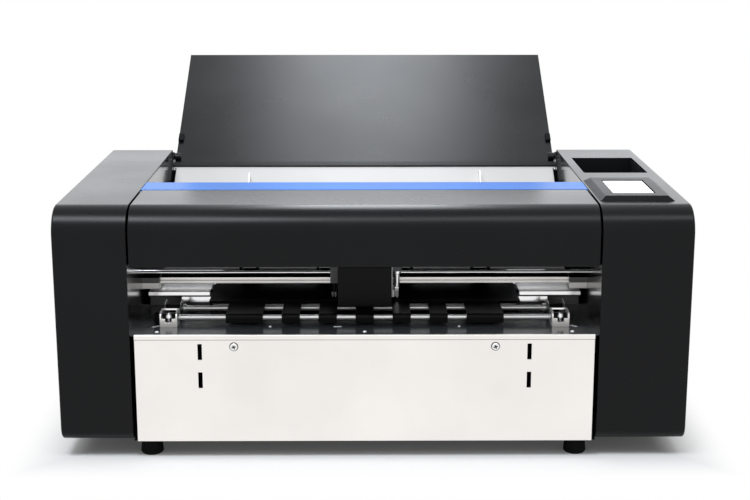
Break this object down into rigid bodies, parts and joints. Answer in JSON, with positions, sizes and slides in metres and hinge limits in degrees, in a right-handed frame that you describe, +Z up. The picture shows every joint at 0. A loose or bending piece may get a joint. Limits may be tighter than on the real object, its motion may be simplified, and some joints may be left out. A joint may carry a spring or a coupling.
{
  "type": "automatic sheet cutter",
  "caption": "Desk-top automatic sheet cutter: black covers, hinged hood, opened rear lid as sheet support, cutting carriage on a rail, exit shaft, touch screen.",
  "frame": {"origin": "on the table, under the middle of the whole length and width with the lid open", "axes": "+X to the right seen from the front, +Y from the front to the back, +Z up"},
  "size_m": [0.684, 0.5952, 0.3854],
  "materials": {
    "black_coat": "fine textured satin powder coat",
    "black_satin": "smooth satin black coat",
    "blue_paint": "smooth satin",
    "stainless": "brushed lengthwise",
    "brushed_steel": "rolled sheet",
    "bright_steel": "ground and polished",
    "aluminium": "anodised",
    "bronze": "sintered",
    "rubber": "matt",
    "dark_plastic": "fine grain",
    "white_plastic": "plain",
    "cutting_plastic": "plain",
    "screen": "lit blank screen",
    "board": "circuit board"
  },
  "bodies": {
    "chassis": {"base_pan": "black_coat", "feet": "rubber", "screws": "bright_steel", "left_side_plate": "brushed_steel", "right_side_plate": "brushed_steel", "left_cover": "black_coat", "right_cover": "black_coat", "front_plate": "stainless", "deck_plate": "black_satin", "rear_panel": "black_coat", "cross_beam": "brushed_steel", "trim_strip": "blue_paint", "platen": "black_satin", "cutting_strip": "cutting_plastic", "side_shelves": "stainless", "feed_chute": "stainless", "feed_gate": "dark_plastic", "hinge_strip": "black_coat", "lid_brackets": "black_satin", "hinge_pins": "bright_steel", "carriage_rail": "aluminium", "guide_rod": "bright_steel", "rail_blocks": "dark_plastic", "exit_brackets": "bright_steel", "shaft_bushes": "bronze", "carriage_motor": "dark_plastic", "carriage_belt": "rubber", "feed_motor": "dark_plastic", "pick_belt": "rubber", "exit_motor": "brushed_steel", "exit_belt": "rubber", "pinch_shaft": "bright_steel", "control_bezel": "dark_plastic", "touch_screen": "screen", "pocket_tray": "dark_plastic", "main_board": "board", "power_supply": "brushed_steel", "power_inlet": "dark_plastic"},
    "hood": {"hood": "black_coat"},
    "lid": {"lid": "black_satin", "lid_bumpers": "rubber"},
    "carriage": {"carriage_body": "dark_plastic", "carriage_cover": "black_satin"},
    "blade_tool": {"blade_holder": "bright_steel", "blade": "bright_steel"},
    "crease_tool": {"crease_tool": "black_satin"},
    "drive_pulley": {"belt_drive_pulley": "aluminium"},
    "idler_pulley": {"belt_idler_pulley": "aluminium"},
    "drive_roller": {"drive_roller": "bright_steel"},
    "pinch_frame": {"pinch_arms": "dark_plastic"},
    "pinch_rollers": {"pinch_rollers": "rubber"},
    "pick_rollers": {"pick_shaft": "bright_steel", "pick_rollers": "rubber"},
    "exit_shaft": {"exit_shaft": "bright_steel"},
    "rear_exit_shaft": {"rear_exit_shaft": "bright_steel"},
    "exit_motor_pulley": {"exit_motor_pulley": "aluminium"},
    "left_guide": {"left_guide": "stainless"},
    "right_guide": {"right_guide": "stainless"},
    "guide_pinion": {"guide_pinion": "white_plastic"},
    "power_rocker": {"power_rocker": "dark_plastic"}
  },
  "joints": [
    {"name": "lid_hinge", "type": "hinge", "parent": "chassis", "child": "lid", "pos_m": [-0.0095, 0.0938, 0.271], "axis": [1, 0, 0], "range_deg": [0, 149]},
    {"name": "hood_hinge", "type": "hinge", "parent": "chassis", "child": "hood", "pos_m": [-0.0095, -0.1916, 0.274], "axis": [-1, 0, 0], "range_deg": [0, 70]},
    {"name": "carriage_slide", "type": "slide", "parent": "chassis", "child": "carriage", "axis": [1, 0, 0], "range_m": [-0.188, 0.188]},
    {"name": "blade_press", "type": "slide", "parent": "carriage", "child": "blade_tool", "axis": [0, 0, 1], "range_m": [-0.0022, 0], "stiffness_N_per_m": 400, "springref_m": 0.002},
    {"name": "crease_press", "type": "slide", "parent": "carriage", "child": "crease_tool", "axis": [0, 0, 1], "range_m": [-0.0022, 0], "stiffness_N_per_m": 400, "springref_m": 0.002},
    {"name": "drive_pulley_spin", "type": "hinge", "parent": "chassis", "child": "drive_pulley", "pos_m": [0.223, -0.1494, 0.19], "axis": [0, 0, 1], "continuous": true},
    {"name": "idler_pulley_spin", "type": "hinge", "parent": "chassis", "child": "idler_pulley", "pos_m": [-0.253, -0.1494, 0.19], "axis": [0, 0, 1], "continuous": true},
    {"name": "drive_roller_spin", "type": "hinge", "parent": "chassis", "child": "drive_roller", "pos_m": [-0.0095, -0.1026, 0.1435], "axis": [1, 0, 0], "continuous": true},
    {"name": "pinch_lift", "type": "hinge", "parent": "chassis", "child": "pinch_frame", "pos_m": [-0.0095, -0.1276, 0.185], "axis": [1, 0, 0], "range_deg": [0, 12]},
    {"name": "pinch_roller_spin", "type": "hinge", "parent": "pinch_frame", "child": "pinch_rollers", "pos_m": [-0.0095, -0.1026, 0.1608], "axis": [1, 0, 0], "continuous": true},
    {"name": "pick_roller_spin", "type": "hinge", "parent": "chassis", "child": "pick_rollers", "pos_m": [-0.0095, -0.04996, 0.16005], "axis": [1, 0, 0], "continuous": true},
    {"name": "exit_shaft_spin", "type": "hinge", "parent": "chassis", "child": "exit_shaft", "pos_m": [-0.0095, -0.2516, 0.1488], "axis": [1, 0, 0], "continuous": true},
    {"name": "rear_exit_spin", "type": "hinge", "parent": "chassis", "child": "rear_exit_shaft", "pos_m": [-0.0095, -0.2136, 0.1488], "axis": [1, 0, 0], "continuous": true},
    {"name": "exit_motor_spin", "type": "hinge", "parent": "chassis", "child": "exit_motor_pulley", "pos_m": [-0.2095, -0.2516, 0.1048], "axis": [1, 0, 0], "continuous": true},
    {"name": "left_guide_slide", "type": "slide", "parent": "chassis", "child": "left_guide", "axis": [1, 0, 0], "range_m": [0, 0.06]},
    {"name": "right_guide_slide", "type": "slide", "parent": "chassis", "child": "right_guide", "axis": [1, 0, 0], "range_m": [-0.06, 0]},
    {"name": "guide_pinion_spin", "type": "hinge", "parent": "chassis", "child": "guide_pinion", "pos_m": [-0.0095, 0.01891, 0.22118], "axis": [0, -0.5424, 0.8402], "range_deg": [-216, 0]},
    {"name": "rocker_tilt", "type": "hinge", "parent": "chassis", "child": "power_rocker", "pos_m": [0.196, 0.0944, 0.099], "axis": [1, 0, 0], "range_deg": [0, 16]}
  ],
  "couplings": [
    {"joint": "drive_pulley_spin", "follows": "carriage_slide", "rad_per_m": 125},
    {"joint": "idler_pulley_spin", "follows": "carriage_slide", "rad_per_m": 125},
    {"joint": "pinch_roller_spin", "follows": "drive_roller_spin", "ratio": -1.4286},
    {"joint": "pick_roller_spin", "follows": "drive_roller_spin", "ratio": 1},
    {"joint": "exit_motor_spin", "follows": "exit_shaft_spin", "ratio": 1},
    {"joint": "right_guide_slide", "follows": "left_guide_slide", "ratio": -1},
    {"joint": "guide_pinion_spin", "follows": "left_guide_slide", "rad_per_m": -62.5}
  ]
}
